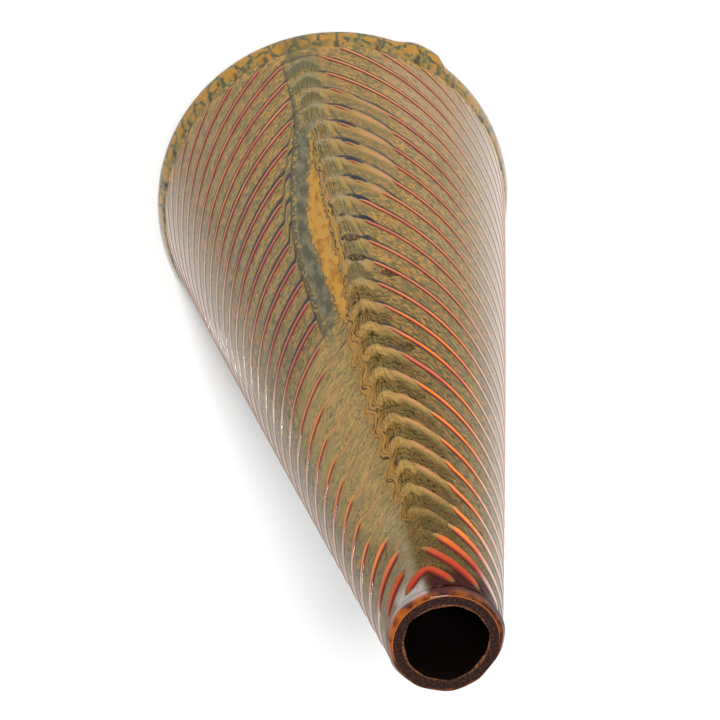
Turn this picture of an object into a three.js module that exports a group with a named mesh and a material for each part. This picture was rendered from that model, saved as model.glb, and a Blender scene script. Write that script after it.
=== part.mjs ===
// Cone vase of blown glass, standing on its wide closed end with the narrow mouth on top.
// Millimetres, +Z up, origin at the middle of the foot. The combed seam faces -Y.
// A dark blown bubble is cased in marbled glass, a trail of red glass is wound round it from lip to foot,
// and the hot wall is combed once down the front, which draws every turn into a chevron.
import * as THREE from 'three';

// The blown form: a straight-sided cone with a slight belly
const height = 300;
const lipOutsideRadius = 13.0;
const footOutsideRadius = 62.2;
const belly = 0.5;

// Layers of the wall
const overlayThickness = 0.9;
const layerGap = 0.3;
const wallAtLip = 1.6;
const wallAtFoot = 3.2;
const floorThickness = 5;
const floorFillet = 9;
const lipChamfer = 0.35;

// The underside
const punt = 4.5;
const puntFullness = 0.72;
const puntRim = 4;
const pontilRadius = 11;
const bodyCorner = 4;

// Glass wrapped round the lip, and the band of marbled glass at the foot
const lipWrapHeight = 3.2;
const lipWrapThickness = 1.0;
const lipWrapRound = 0.7;
const footBandFlare = 1.0;
const footBandHeight = 10.5;
const footBandRound = 2.6;
const footBandEdge = 0.9;
const footLedge = 2.6;
const footFold = 9.2;

// The wound trail on either side of the front, with lengths as shares of the vase's height and
// angles in degrees. The turns lie start + pitch * turn below the lip, closer together near the lip,
// and the comb has pulled them down towards the front.
const trail = {
  right: { start: 0.01933, pitch: 0.03933, crowding: 0.134, crowdedTurns: 8, pull: 0.09767, pullRise: 0.344,
    pullBend: -0.087, reach: 202 },
  left: { start: 0.02467, pitch: 0.0355, crowding: 0.0625, crowdedTurns: 4.73, pull: 0.06633, pullRise: 0.1,
    pullBend: 0.186, reach: 144 },
};
const eighthTurn = 45;
const levelFrom = 95;

// Where the turns stop beside the combed seam: share of the height below the lip, angle from the front
const trailStops = {
  right: [[0.057, -3], [0.097, 31], [0.167, 31], [0.4, 11], [0.5, 11], [0.9, 8]],
  left: [[0.08, 18], [0.113, 41], [0.233, 41], [0.407, 21], [0.583, 21], [0.873, 4]],
};

// Section of the trail
const trailWidth = 2.2;
const trailRelief = 0.8;
const trailGap = 0.3;
const crestShift = 0.06;
const crestWidth = 0.24;
const trailSagitta = 0.15;
const trailTaper = 9;
const taperEnd = 0.35;
const firstTurn = -1;
const archCrossing = 15;
const lastTurn = 33;

// The combed seam, a crest of humps with one hump for each turn
const seamFromTurn = 1.5;
const seamToTurn = 23.5;
const seamStepsPerTurn = 3;
const seamAngle = 2.6;
const seamSway = 0.8;
const seamSwayLength = 0.633;
const seamHalfAngle = 5.4;
const seamClearance = 1.6;
const seamRelief = 1.5;
const humpRelief = 0.55;
const halfTurn = 0.5;
const seamRunOut = 1.5;
const seamEndShare = 0.2;
const seamSection = [-1, -0.72, -0.3, 0.3, 0.72, 1];

const segments = 48;
const fullTurn = 360;
const rad = Math.PI / 180;

function smoothRise(from, to, x) {
  const f = Math.min(Math.max((x - from) / (to - from), 0), 1);
  return f * f * (3 - 2 * f);
}

// Outside radius of the marbled overlay at a height above the foot
function outsideRadius(z) {
  const fall = 1 - z / height;
  return lipOutsideRadius + (footOutsideRadius - lipOutsideRadius) * fall + 4 * belly * fall * (1 - fall);
}

function bodyRadius(z) {
  return outsideRadius(z) - overlayThickness - layerGap;
}

function cavityRadius(z) {
  return bodyRadius(z) - THREE.MathUtils.lerp(wallAtFoot, wallAtLip, z / height);
}

// Points of a circular arc in the profile plane, angles in degrees
function arc(r, z, radius, from, to, steps) {
  return Array.from({ length: steps + 1 }, (_, i) => {
    const angle = (from + ((to - from) * i) / steps) * rad;
    return new THREE.Vector2(r + radius * Math.cos(angle), z + radius * Math.sin(angle));
  });
}

// Points down a wall whose radius is a function of height
function wall(radiusAt, fromZ, toZ, steps) {
  return Array.from({ length: steps + 1 }, (_, i) => {
    const z = fromZ + ((toZ - fromZ) * i) / steps;
    return new THREE.Vector2(radiusAt(z), z);
  });
}

function revolve(profile) {
  const geometry = new THREE.LatheGeometry(profile, segments);
  geometry.rotateX(Math.PI / 2);
  return geometry;
}

function glass(colour, roughness) {
  return new THREE.MeshStandardMaterial({ color: colour, roughness, metalness: 0 });
}

const darkGlass = glass(0x3a1f1c, 0.25);
const marbledGlass = glass(0x96783f, 0.3);
const seamGlass = glass(0x7c7350, 0.35);
const amberGlass = glass(0x9a4a22, 0.15);
const redGlass = glass(0xd2552f, 0.2);

const vase = new THREE.Group();

function addPiece(name, geometry, material) {
  const mesh = new THREE.Mesh(geometry, material);
  mesh.name = name;
  vase.add(mesh);
}

// The dark bubble: ground flat lip, thin wall, thick floor pushed up into a punt
const bodyBottom = footLedge + layerGap;
const footInnerRadius = footOutsideRadius - footFold;
const puntRadius = footInnerRadius - puntRim;
const cornerCentre = bodyRadius(bodyBottom + bodyCorner) - bodyCorner;

function bodyProfile() {
  const puntTop = bodyBottom + punt;
  const floorTop = puntTop + floorThickness;
  const filletZ = bodyBottom + floorThickness + floorFillet;
  const filletR = cavityRadius(filletZ) - floorFillet;
  return [
    new THREE.Vector2(0, puntTop),
    new THREE.Vector2(pontilRadius, puntTop),
    new THREE.Vector2((pontilRadius + puntRadius) / 2, bodyBottom + punt * puntFullness),
    new THREE.Vector2(puntRadius, bodyBottom),
    ...arc(cornerCentre, bodyBottom + bodyCorner, bodyCorner, -90, 0, 3),
    ...wall(bodyRadius, bodyBottom + 2 * bodyCorner, height - lipChamfer, 3),
    new THREE.Vector2(bodyRadius(height) - lipChamfer, height),
    new THREE.Vector2(cavityRadius(height) + lipChamfer, height),
    ...wall(cavityRadius, height - lipChamfer, filletZ, 3),
    ...arc(filletR, filletZ, floorFillet, 0, -90, 3).slice(1),
    new THREE.Vector2(0, floorTop),
  ];
}

addPiece('blown_body', revolve(bodyProfile()), darkGlass);

// The marbled overlay: a thin casing from the lip wrap down to the foot band
const overlayTop = height - lipWrapHeight - layerGap;
const overlayBottom = footBandHeight + layerGap;
const overlayInside = (z) => outsideRadius(z) - overlayThickness;

function overlayProfile() {
  const outside = wall(outsideRadius, overlayBottom, overlayTop, 4);
  const inside = wall(overlayInside, overlayTop, overlayBottom, 4);
  return [...outside, ...inside, outside[0].clone()];
}

addPiece('marbled_overlay', revolve(overlayProfile()), marbledGlass);

// The lip wrap: a trail of amber glass round the outer edge of the ground lip
function lipWrapProfile() {
  const bottom = height - lipWrapHeight;
  const inside = (z) => bodyRadius(z) + layerGap;
  const outside = (z) => inside(z) + lipWrapThickness;
  const roundZ = height - lipWrapRound;
  return [
    new THREE.Vector2(inside(bottom), bottom),
    new THREE.Vector2(outside(bottom), bottom),
    ...arc(outside(roundZ) - lipWrapRound, roundZ, lipWrapRound, 0, 90, 3),
    new THREE.Vector2(inside(height), height),
    new THREE.Vector2(inside(bottom), bottom),
  ];
}

addPiece('lip_wrap', revolve(lipWrapProfile()), amberGlass);

// The foot band: uncombed marbled glass that flares a little and is folded under the body's edge,
// flat where the vase rests
function footBandProfile() {
  const widest = footOutsideRadius + footBandFlare;
  const narrowest = outsideRadius(footBandHeight) + footBandEdge;
  const widestZ = footBandRound + footBandEdge;
  const drawIn = (z) => smoothRise(widestZ, footBandHeight, z);
  const flare = (z) => THREE.MathUtils.lerp(widest, narrowest, drawIn(z));
  const topInside = bodyRadius(footBandHeight) + layerGap;
  return [
    new THREE.Vector2(footInnerRadius, 0),
    ...arc(widest - footBandRound, footBandRound, footBandRound, -90, 0, 3),
    ...wall(flare, widestZ, footBandHeight, 3),
    new THREE.Vector2(topInside, footBandHeight),
    ...arc(cornerCentre, bodyBottom + bodyCorner, bodyCorner + layerGap, 0, -90, 3),
    new THREE.Vector2(footInnerRadius, footLedge),
    new THREE.Vector2(footInnerRadius, 0),
  ];
}

addPiece('foot_band', revolve(footBandProfile()), marbledGlass);

// Distance below the lip of turn t of the trail, at an angle round from the front.
// The pull is strongest at the front, dies away round the side, and the back runs level.
function sideDepth(side, t, angle) {
  const law = trail[side];
  const level = law.start + law.pitch * t - law.crowding * (1 - Math.exp(-t / law.crowdedTurns));
  const pull = law.pull + law.pullRise * level + law.pullBend * level * level;
  const share = (a) => Math.max(1 - a / law.reach, 0) ** 2;
  return height * (level + pull * (share(angle) - share(eighthTurn)));
}

// A turn leaves the front on the right as turn t and comes back on the left as turn t - 1
function trailDepth(side, t, angle) {
  const atBack = side === 'right' ? t - halfTurn : t + halfTurn;
  const fromRight = sideDepth('right', atBack + halfTurn, fullTurn / 2);
  const fromLeft = sideDepth('left', atBack - halfTurn, fullTurn / 2);
  const back = (fromRight + fromLeft) / 2;
  return THREE.MathUtils.lerp(sideDepth(side, t, angle), back, smoothRise(levelFrom, fullTurn / 2, angle));
}

// Angle at which the turns stop beside the combed seam, at a depth below the lip
function stopAngle(side, depth) {
  const stops = trailStops[side];
  const [, firstAngle] = stops[0];
  return stops.slice(1).reduce((angle, [toShare, toAngle], index) => {
    const [fromShare, fromAngle] = stops[index];
    return angle + (toAngle - fromAngle) * smoothRise(fromShare, toShare, depth / height);
  }, firstAngle);
}

// A point over the cone at an angle to the right of the front, lifted off the overlay
function conePoint(angle, depth, lift) {
  const z = height - depth;
  const r = outsideRadius(z) + lift;
  return new THREE.Vector3(-r * Math.sin(angle * rad), -r * Math.cos(angle * rad), z);
}

// A closed strip lofted through rings of equal count
function loft(rings) {
  const count = rings[0].length;
  const positions = rings.flat().flatMap((p) => [p.x, p.y, p.z]);
  const indices = [];
  for (let i = 0; i + 1 < rings.length; i += 1) {
    for (let j = 0; j < count; j += 1) {
      const a = i * count + j;
      const b = i * count + ((j + 1) % count);
      indices.push(a, b, b + count, a, b + count, a + count);
    }
  }
  const last = (rings.length - 1) * count;
  for (let j = 1; j + 1 < count; j += 1) {
    indices.push(0, j + 1, j, last, last + j, last + j + 1);
  }
  const geometry = new THREE.BufferGeometry();
  geometry.setAttribute('position', new THREE.Float32BufferAttribute(positions, 3));
  geometry.setIndex(indices);
  geometry.computeVertexNormals();
  return geometry;
}

// Section of the trail across its path: low, with the crest nearer the foot side
const trailSection = [
  [-0.5, 0],
  [crestShift - crestWidth / 2, 1],
  [crestShift + crestWidth / 2, 1],
  [0.5, 0],
];

function trailRing(path, position) {
  const step = 0.5;
  const here = path(position);
  const along = conePoint(...path(position + step), trailGap).sub(conePoint(...path(position - step), trailGap));
  const outward = conePoint(...here, 1).sub(conePoint(...here, 0)).normalize();
  const across = new THREE.Vector3().crossVectors(along, outward).normalize();
  return { here, across };
}

function trailGeometry(path, from, to) {
  const widest = Math.max(...[from, to].map((end) => outsideRadius(height - path(end)[1])));
  const chord = (2 * Math.acos(1 - trailSagitta / widest)) / rad;
  const steps = Math.max(Math.ceil((to - from) / chord), 4);
  const rings = [];
  for (let i = 0; i <= steps; i += 1) {
    const position = from + ((to - from) * i) / steps;
    const { here, across } = trailRing(path, position);
    const inFromEnd = Math.min(position - from, to - position);
    const size = THREE.MathUtils.lerp(taperEnd, 1, smoothRise(0, trailTaper, inFromEnd));
    rings.push(trailSection.map(([side, rise]) => {
      const lift = trailGap + rise * trailRelief * size;
      return conePoint(...here, lift).addScaledVector(across, side * trailWidth * size);
    }));
  }
  return loft(rings);
}

// Stretches of a path that lie between the lip wrap and the foot band, clear of the seam
const highest = lipWrapHeight + layerGap + trailWidth / 2;
const lowest = height - footBandHeight - layerGap - trailWidth / 2;

function clearStretches(path, from, to, clearOfSeam) {
  const stretches = [];
  let open = null;
  for (let position = from; position <= to; position += 1) {
    const [angle, depth] = path(position);
    const clear = depth > highest && depth < lowest && clearOfSeam(angle, depth);
    if (clear && open === null) open = position;
    if (open !== null && (!clear || position + 1 > to)) {
      stretches.push([open, clear ? position : position - 1]);
      open = null;
    }
  }
  return stretches.filter(([a, b]) => b - a > 2 * trailTaper);
}

// Round the vase from the right of the front (0) by the back (180) to the left (360)
function turnPath(turn) {
  return (position) => {
    if (position <= fullTurn / 2) return [position, trailDepth('right', turn, position)];
    return [position - fullTurn, trailDepth('left', turn - 1, fullTurn - position)];
  };
}

// The first turn crosses the front above the seam, and both its ends run out at the lip
function archPath(position) {
  const onRight = smoothRise(-archCrossing, archCrossing, position);
  const fromRight = trailDepth('right', firstTurn, Math.abs(position));
  const fromLeft = trailDepth('left', firstTurn, Math.abs(position));
  return [position, THREE.MathUtils.lerp(fromLeft, fromRight, onRight)];
}

function clearOfSeam(angle, depth) {
  const side = angle >= 0 ? 'right' : 'left';
  return Math.abs(angle) >= stopAngle(side, depth);
}

const trails = clearStretches(archPath, -fullTurn / 2, fullTurn / 2, () => true)
  .map(([from, to]) => trailGeometry(archPath, from, to));

for (let turn = 0; turn <= lastTurn; turn += 1) {
  const path = turnPath(turn);
  for (const [from, to] of clearStretches(path, 0, fullTurn, clearOfSeam)) {
    trails.push(trailGeometry(path, from, to));
  }
}

trails.forEach((geometry, index) => {
  addPiece(`trail_${String(index + 1).padStart(2, '0')}`, geometry, redGlass);
});

// The combed seam: a rounded crest that wanders a little, with a hump at each turn
function seamCentre(depth) {
  return seamAngle + seamSway * Math.sin((2 * Math.PI * depth) / (seamSwayLength * height));
}

function seamGeometry() {
  const steps = Math.round((seamToTurn - seamFromTurn) * seamStepsPerTurn);
  const rings = [];
  for (let i = 0; i <= steps; i += 1) {
    const turn = seamFromTurn + i / seamStepsPerTurn;
    const depth = trailDepth('right', turn, seamAngle);
    const runIn = smoothRise(0, seamRunOut, turn - seamFromTurn);
    const full = runIn * smoothRise(0, seamRunOut, seamToTurn - turn);
    const rise = (seamRelief + humpRelief * Math.cos(2 * Math.PI * turn)) * Math.max(full, seamEndShare);
    const centre = seamCentre(depth);
    const rightRoom = stopAngle('right', depth) - centre;
    const leftRoom = stopAngle('left', depth) + centre;
    const room = Math.min(rightRoom, leftRoom) - seamClearance;
    const half = Math.min(seamHalfAngle, room) * THREE.MathUtils.lerp(0.5, 1, full);
    const top = seamSection.map((share) => {
      return conePoint(centre + share * half, depth, layerGap + rise * (1 - share ** 2));
    });
    rings.push([...top, conePoint(centre, depth, layerGap)]);
  }
  return loft(rings);
}

addPiece('combed_seam', seamGeometry(), seamGlass);

export default vase;
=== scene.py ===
import math

import bpy
import numpy as np
from mathutils import Matrix, Vector


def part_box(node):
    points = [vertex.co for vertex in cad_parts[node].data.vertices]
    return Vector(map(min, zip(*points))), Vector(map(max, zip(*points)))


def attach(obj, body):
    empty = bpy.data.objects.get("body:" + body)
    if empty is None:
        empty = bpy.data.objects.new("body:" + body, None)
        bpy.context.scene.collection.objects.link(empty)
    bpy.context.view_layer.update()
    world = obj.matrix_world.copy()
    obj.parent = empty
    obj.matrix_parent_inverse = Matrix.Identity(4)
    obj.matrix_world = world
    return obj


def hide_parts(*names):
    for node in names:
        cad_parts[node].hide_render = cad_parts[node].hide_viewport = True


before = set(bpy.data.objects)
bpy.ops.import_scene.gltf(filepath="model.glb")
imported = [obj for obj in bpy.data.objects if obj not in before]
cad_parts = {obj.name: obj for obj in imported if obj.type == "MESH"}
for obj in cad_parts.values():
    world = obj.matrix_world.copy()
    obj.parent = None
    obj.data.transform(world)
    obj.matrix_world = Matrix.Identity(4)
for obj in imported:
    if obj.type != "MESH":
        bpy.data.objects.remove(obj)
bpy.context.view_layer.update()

# Camera
# It looks down past the narrow mouth on to the front of the cone, turned so that the mouth is at the
# bottom of the picture, as the photograph has it.
camera_place = Vector((0, -0.2839, 0.7364))
camera_look = Vector((0.0062, 0.4276, -0.904)).normalized()
camera_right = Vector((-0.9688, 0.2265, 0.1005))
camera_lens = 108.8

camera_right = (camera_right - camera_look * camera_right.dot(camera_look)).normalized()
camera_up = camera_right.cross(camera_look)
camera = bpy.data.objects.new("camera", bpy.data.cameras.new("camera"))
bpy.context.scene.collection.objects.link(camera)
camera.matrix_world = Matrix.Translation(camera_place) @ Matrix(
    (camera_right, camera_up, -camera_look)).transposed().to_4x4()
camera.data.lens = camera_lens
camera.data.clip_start = 0.01
bpy.context.scene.camera = camera


# Blown body
# The dark gather, blown into a cone with a thin wall and a thick floor that is pushed up into a punt.
# Its lip is ground flat and matt, and the bore behind it looks black.
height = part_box("blown_body")[1].z
lip_radius = 0.013
foot_radius = 0.0622
belly = 0.0005
casing = 0.0009
layer_gap = 0.0003
wall_at_lip = 0.0016
wall_at_foot = 0.0032
body_round = 192
bore_depth = 0.283
lip_waver = 0.00022
waver_reach = 0.012
floor_ring = 0.006
floor_dish = 0.003
punt_height = 0.0045
punt_fullness = 0.72
punt_radius = 0.049
pontil_radius = 0.011
merge_distance = 0.000002


def rise(start, end, x):
    """A smooth step from 0 at start to 1 at end."""
    f = np.clip((x - start) / (end - start), 0, 1)
    return f * f * (3 - 2 * f)


def cone_radius(z):
    """Radius of the finished outside of the cone at a height above the foot."""
    fall = 1 - z / height
    return lip_radius + (foot_radius - lip_radius) * fall + 4 * belly * fall * (1 - fall)


def body_radius(z):
    return cone_radius(z) - casing - layer_gap


def begin_shape(add, **options):
    """Adds a primitive with nothing else selected, and opens it in edit mode."""
    if bpy.context.object and bpy.context.object.mode == "EDIT":
        bpy.ops.object.mode_set(mode="OBJECT")
    bpy.ops.object.select_all(action="DESELECT")
    add(**options)
    bpy.ops.object.mode_set(mode="EDIT")
    return bpy.context.object


def pick_faces(piece, test):
    """Selects the faces that pass a test on their middle and normal, and nothing else."""
    bpy.ops.object.mode_set(mode="OBJECT")
    mesh = piece.data
    for part in (mesh.vertices, mesh.edges, mesh.polygons):
        part.foreach_set("select", np.zeros(len(part), bool))
    for face in mesh.polygons:
        face.select = bool(test(face.center, face.normal))
    bpy.ops.object.mode_set(mode="EDIT")
    bpy.ops.mesh.select_mode(type="FACE")


def face_outwards():
    """Merges doubled points of the shape being made and turns its faces outwards."""
    bpy.ops.object.mode_set(mode="EDIT")
    bpy.ops.mesh.select_all(action="SELECT")
    bpy.ops.mesh.remove_doubles(threshold=merge_distance)
    bpy.ops.mesh.normals_make_consistent(inside=False)


def end_shape(piece, name, smooth_angle=35):
    """Closes edit mode, names the piece, smooths it and puts its origin at the vase's."""
    bpy.ops.object.mode_set(mode="OBJECT")
    piece.name = piece.data.name = name
    bpy.ops.object.transform_apply(location=True, rotation=True, scale=True)
    bpy.ops.object.shade_smooth_by_angle(angle=math.radians(smooth_angle))
    return piece


def points_of(piece):
    places = np.zeros(len(piece.data.vertices) * 3)
    piece.data.vertices.foreach_get("co", places)
    return places.reshape(-1, 3)


def move_points(piece, places):
    piece.data.vertices.foreach_set("co", places.ravel())
    piece.data.update()


def pull_up(distance, widen=1.0):
    """Extrudes what is selected along the vase's axis, then widens it about the axis."""
    bpy.ops.mesh.extrude_region_move(TRANSFORM_OT_translate={"value": (0, 0, distance)})
    bpy.ops.transform.resize(value=(widen, widen, 1), center_override=(0, 0, 0))


body_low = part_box("blown_body")[0]
body = begin_shape(
    bpy.ops.mesh.primitive_cone_add, vertices=body_round, radius1=body_radius(body_low.z),
    radius2=body_radius(height), depth=height - body_low.z, location=(0, 0, (height + body_low.z) / 2))
pick_faces(body, lambda centre, normal: normal.z > 0.9)
bpy.ops.mesh.inset(thickness=wall_at_lip)
bore_radius = body_radius(height) - wall_at_lip
floor_z = height - bore_depth
pull_up(-bore_depth, (body_radius(floor_z) - wall_at_foot) / bore_radius)
bpy.ops.mesh.inset(thickness=floor_ring)
pull_up(-floor_dish)
pick_faces(body, lambda centre, normal: normal.z < -0.9)
bpy.ops.mesh.inset(thickness=body_radius(body_low.z) - punt_radius)
for part in (punt_fullness, 1 - punt_fullness):
    bpy.ops.mesh.inset(thickness=(punt_radius - pontil_radius) / 2)
    bpy.ops.transform.translate(value=(0, 0, part * punt_height))
body = end_shape(body, "blown_body_glass")


def waver(angle, size):
    """The slight unevenness of a hand-made rim, as a length added to the radius."""
    return size * (np.sin(3 * angle + 0.7) + 0.6 * np.sin(5 * angle + 2.1) + 0.4 * np.sin(11 * angle))


def waver_lip(piece, size, reach):
    """Makes the top of a piece as uneven as the lip, dying away over a reach below it."""
    places = points_of(piece)
    radius = np.hypot(places[:, 0], places[:, 1])
    share = rise(height - reach, height, places[:, 2]) * (radius > 0.001)
    change = 1 + share * waver(np.arctan2(places[:, 0], places[:, 1]), size) / np.maximum(radius, 0.001)
    places[:, :2] *= change[:, None]
    move_points(piece, places)


waver_lip(body, lip_waver, waver_reach)


class Value:
    """A socket of a finish's node tree. Sums on it add Math nodes."""

    def __init__(self, finish, socket):
        self.finish = finish
        self.socket = socket

    def math(self, operation, first, second=0.0):
        return self.finish.node("ShaderNodeMath", {"operation": operation}, {0: first, 1: second})

    def __add__(self, other):
        return self.math("ADD", self, other)

    def __sub__(self, other):
        return self.math("SUBTRACT", self, other)

    def __rsub__(self, other):
        return self.math("SUBTRACT", other, self)

    def __mul__(self, other):
        return self.math("MULTIPLY", self, other)

    def __truediv__(self, other):
        return self.math("DIVIDE", self, other)

    __radd__ = __add__
    __rmul__ = __mul__

    def size(self):
        return self.math("ABSOLUTE", self)

    def fraction(self):
        return self.math("FRACT", self)

    def rise(self, start, end):
        """A smooth step from 0 at start to 1 at end, either of which may be a socket."""
        return self.finish.node("ShaderNodeMapRange", {"interpolation_type": "SMOOTHSTEP"}, {
            "Value": self, "From Min": start, "From Max": end, "To Min": 0, "To Max": 1})

    def within(self, low, high, soft):
        """1 from low to high, and 0 beyond them, with soft edges."""
        return self.rise(low - soft, low + soft) * self.rise(high + soft, high - soft)


class Finish:
    """A material in the making: node() adds one node, with its settings first and then its sockets."""

    def __init__(self, name, roughness, refraction=1.3):
        self.material = bpy.data.materials.new(name)
        self.material.use_nodes = True
        self.tree = self.material.node_tree
        self.surface = self.tree.nodes["Principled BSDF"]
        for socket, value in (("Roughness", roughness), ("IOR", refraction), ("Coat Roughness", 0.06)):
            self.surface.inputs[socket].default_value = value
        self.place = self.node("ShaderNodeTexCoord", {}, {}, "Object")

    def fill(self, socket, value):
        if isinstance(value, Value):
            self.tree.links.new(value.socket, socket)
        elif hasattr(value, "__len__") and len(value) == 3 and len(socket.default_value) == 4:
            socket.default_value = (*value, 1)
        else:
            socket.default_value = value

    def node(self, kind, settings, sockets, output=0):
        made = self.tree.nodes.new(kind)
        for name, setting in settings.items():
            setattr(made, name, setting)
        for name, value in sockets.items():
            self.fill(made.inputs[name], value)
        return Value(self, made.outputs[output])

    def attribute(self, name):
        return self.node("ShaderNodeAttribute", {"attribute_name": name}, {}, "Fac")

    def along(self, axis, place=None):
        return self.node("ShaderNodeSeparateXYZ", {}, {0: place or self.place}, axis)

    def to_right(self):
        """Degrees round the vase to the right of the front."""
        turned = {0: self.along("X") * -1, 1: self.along("Y") * -1}
        return self.node("ShaderNodeMath", {"operation": "ARCTAN2"}, turned) * (180 / math.pi)

    def blend(self, share, first, second):
        """Colour that goes from the first to the second as share goes from 0 to 1."""
        return self.node("ShaderNodeMix", {"data_type": "RGBA"}, {0: share, 6: first, 7: second}, 2)

    def layers(self, colour, *coats):
        """A colour under coats of other colours, each given with its share."""
        for share, coat in coats:
            colour = self.blend(share, colour, coat)
        return colour

    def noise(self, scale, place=None, detail=3.0, twist=0.0):
        return self.node("ShaderNodeTexNoise", {}, {
            "Vector": place or self.place, "Scale": scale, "Detail": detail, "Distortion": twist})

    def cell_edge(self, scale, place=None):
        """Distance from the edge of the nearest cell, as a share of the cells' size."""
        return self.node("ShaderNodeTexVoronoi", {"feature": "DISTANCE_TO_EDGE"}, {
            "Vector": place or self.place, "Scale": scale}, "Distance")

    def mosaic(self, scale, place):
        """A random shade for every cell of a mosaic, from 0 to 1."""
        cells = self.node("ShaderNodeTexVoronoi", {"feature": "F1"}, {"Vector": place, "Scale": scale}, "Color")
        return self.along("X", cells)

    def lines(self, level, width):
        """Thin lines, one each time that a level has risen by 1."""
        return (level.fraction() - 0.5).size().rise(width, width * 0.4)

    def stretched(self, amount, place=None):
        """A place with its height multiplied by an amount."""
        return self.node("ShaderNodeVectorMath", {"operation": "MULTIPLY"},
                         {0: place or self.place, 1: (1, 1, amount)})

    def bent(self, place, scale, reach, over=None):
        """A place pushed about by coarse noise over it, or over another place."""
        seen = {"Vector": over or place, "Scale": scale, "Detail": 2}
        pushed = {0: self.node("ShaderNodeTexNoise", {}, seen, "Color"), 1: (reach,) * 3, 2: place}
        return self.node("ShaderNodeVectorMath", {"operation": "MULTIPLY_ADD"}, pushed)

    def joined(self, x, y, z):
        return self.node("ShaderNodeCombineXYZ", {}, {0: x, 1: y, 2: z})

    def bump(self, amount, depth):
        """Fine relief, of a depth in metres."""
        return self.node("ShaderNodeBump", {}, {"Height": amount, "Distance": depth, "Strength": 1.0})

    def paint(self, piece, **inputs):
        for name, value in inputs.items():
            self.fill(self.surface.inputs[name.replace("_", " ").title()], value)
        piece.data.materials.clear()
        piece.data.materials.append(self.material)


def axis_distance(finish):
    """Distance of a point from the vase's axis."""
    return finish.node("ShaderNodeVectorMath", {"operation": "LENGTH"}, {0: finish.stretched(0)}, "Value")


def ground_face(finish):
    """The grain of ground glass, and its colour."""
    grain = finish.noise(1500, detail=4).rise(0.35, 0.7)
    return grain, finish.blend(grain, (0.008, 0.003, 0.002), (0.042, 0.014, 0.009))


dark_glass = Finish("dark glass", roughness=0.22, refraction=1.2)
lip_face = dark_glass.along("Z").rise(height - 0.0004, height - 0.0001)
grain, ground_glass = ground_face(dark_glass)
# A thin tan line along the bore's ground edge: a painted highlight
bore_edge_highlight = axis_distance(dark_glass).rise(bore_radius + 0.00055, bore_radius + 0.00005)
ground_glass = dark_glass.blend(bore_edge_highlight * (0.2 + 0.6 * grain), ground_glass, (0.24, 0.085, 0.03))
dark_colour = dark_glass.blend(lip_face, (0.008, 0.004, 0.004), ground_glass)
dark_glass.paint(body, base_color=dark_colour, roughness=0.22 + 0.28 * lip_face,
                 normal=dark_glass.bump(grain * lip_face, 0.00008))
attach(body, "root")
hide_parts("blown_body")


# Marbled overlay
# A thin casing of speckled ochre and grey-green glass over the dark body. The comb has dragged it
# with the trail, so its surface is ridged along the turns and folded where the seam was drawn.
overlay_low, overlay_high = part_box("marbled_overlay")
half_round = 180
turn_laws = {
    "right": {"start": 0.01933, "pitch": 0.03933, "crowding": 0.134, "crowded_turns": 8, "pull": 0.09767,
              "pull_rise": 0.344, "pull_bend": -0.087, "reach": 202},
    "left": {"start": 0.02467, "pitch": 0.0355, "crowding": 0.0625, "crowded_turns": 4.73,
             "pull": 0.06633, "pull_rise": 0.1, "pull_bend": 0.186, "reach": 144},
}
eighth_turn = 45
level_from = 95
steady_from = -1.5
right_stops = ((0.057, -3), (0.097, 31), (0.167, 31), (0.4, 11), (0.5, 11), (0.9, 8))
left_stops = ((0.08, 18), (0.113, 41), (0.233, 41), (0.407, 21), (0.583, 21), (0.873, 4))
apex = 1.5
apex_round = 4.5
hook_drag = 0.007
skin_lift = 0.0003
pillow = 0.00012
groove_depth = 0.00022
fold_height = 0.0004
pocket_depth = 0.0005


def ring_level(side, turn):
    """Distance of a turn below the lip an eighth of a turn round, as a share of the height."""
    law = turn_laws[side]
    crowded = law["crowding"] * (1 - np.exp(-np.maximum(turn, steady_from) / law["crowded_turns"]))
    crowding_slope = law["crowding"] / law["crowded_turns"] * math.exp(-steady_from / law["crowded_turns"])
    steady = np.minimum(turn - steady_from, 0) * (law["pitch"] - crowding_slope)
    return law["start"] + law["pitch"] * np.maximum(turn, steady_from) - crowded + steady


def side_depth(side, turn, angle):
    law = turn_laws[side]
    level = ring_level(side, turn)
    pull = law["pull"] + law["pull_rise"] * level + law["pull_bend"] * level * level

    def share(a):
        return np.maximum(1 - a / law["reach"], 0) ** 2

    return height * (level + pull * (share(angle) - share(eighth_turn)))


def turn_depth(side, turn, angle):
    """Distance of a turn below the lip, at an angle from the front on the right or the left."""
    at_back = turn - 0.5 if side == "right" else turn + 0.5
    back = side_depth("right", at_back + 0.5, half_round) + side_depth("left", at_back - 0.5, half_round)
    level = rise(level_from, half_round, angle)
    return side_depth(side, turn, angle) * (1 - level) + back / 2 * level


def stop_angle(stops, depth):
    """Angle from the front at which the turns stop, at a depth below the lip."""
    angle = np.full_like(depth, stops[0][1], dtype=float)
    for (share, old), (next_share, new) in zip(stops, stops[1:]):
        angle = angle + (new - old) * rise(share, next_share, depth / height)
    return angle


def apex_angle(angle):
    """Angle on the right that a point near the seam takes its depth from: the turns have a round apex."""
    return angle + (apex + np.hypot(angle - apex, apex_round) - angle) * rise(12, 6, angle)


def combed_depth(turn, angle):
    """Distance below the lip of a turn at an angle to the right of the front, also across the seam."""
    over_seam = turn_depth("right", turn, apex_angle(angle))
    on_left = turn_depth("left", turn, np.maximum(-angle, 0))
    left_edge = -stop_angle(left_stops, (over_seam + on_left) / 2)
    depth = on_left + (over_seam - on_left) * rise(left_edge, np.minimum(left_edge + 9, -2), angle)
    past_end = angle - left_edge
    hook = rise(-1.5, 2, past_end) * rise(9, 3, past_end) * rise(0.38, 0.44, depth / height)
    return depth + hook_drag * hook * rise(0.83, 0.79, depth / height)


def cone_points(angle, depth, lift):
    z = height - depth
    radius = cone_radius(z) + lift
    return np.stack([-radius * np.sin(np.radians(angle)), -radius * np.cos(np.radians(angle)), z], -1)


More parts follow.
